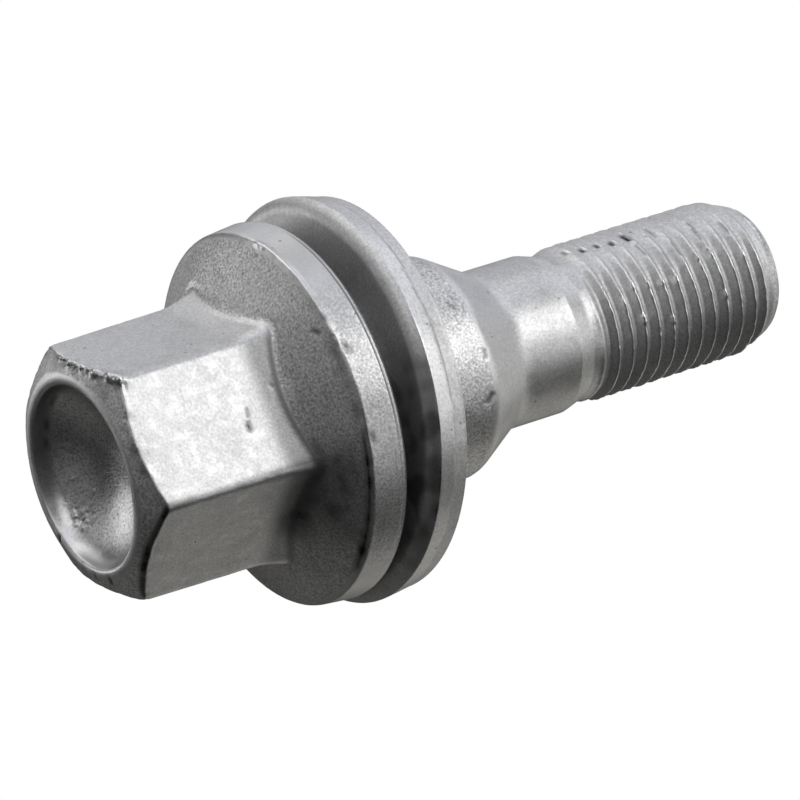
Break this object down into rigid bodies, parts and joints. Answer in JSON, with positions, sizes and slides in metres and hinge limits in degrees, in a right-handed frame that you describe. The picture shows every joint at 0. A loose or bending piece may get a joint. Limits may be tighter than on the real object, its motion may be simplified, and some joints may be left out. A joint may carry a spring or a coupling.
{
  "type": "wheel bolt",
  "caption": "Hex-head wheel bolt with a conical flange, a loose captive washer, a collar with a seat cone and a fine-pitch thread.",
  "frame": {"origin": "on the bolt's axis, in the plane of the front ring of the head that the bolt stands on", "axes": "+Z along the bolt's axis from the head to the threaded tip, +X through a corner of the hexagon"},
  "size_m": [0.0296, 0.0296, 0.0581],
  "materials": {
    "bolt_coating": "matt zinc flake coating on forged steel",
    "washer_coating": "matt zinc flake coating on stamped steel"
  },
  "bodies": {
    "bolt": {"bolt": "bolt_coating"},
    "washer": {"captive_washer": "washer_coating"}
  },
  "joints": [
    {"name": "washer_spin", "type": "hinge", "parent": "bolt", "child": "washer", "pos_m": [0, 0, 0.02127], "axis": [0.0604, 0.0349, 0.9976], "continuous": true}
  ]
}
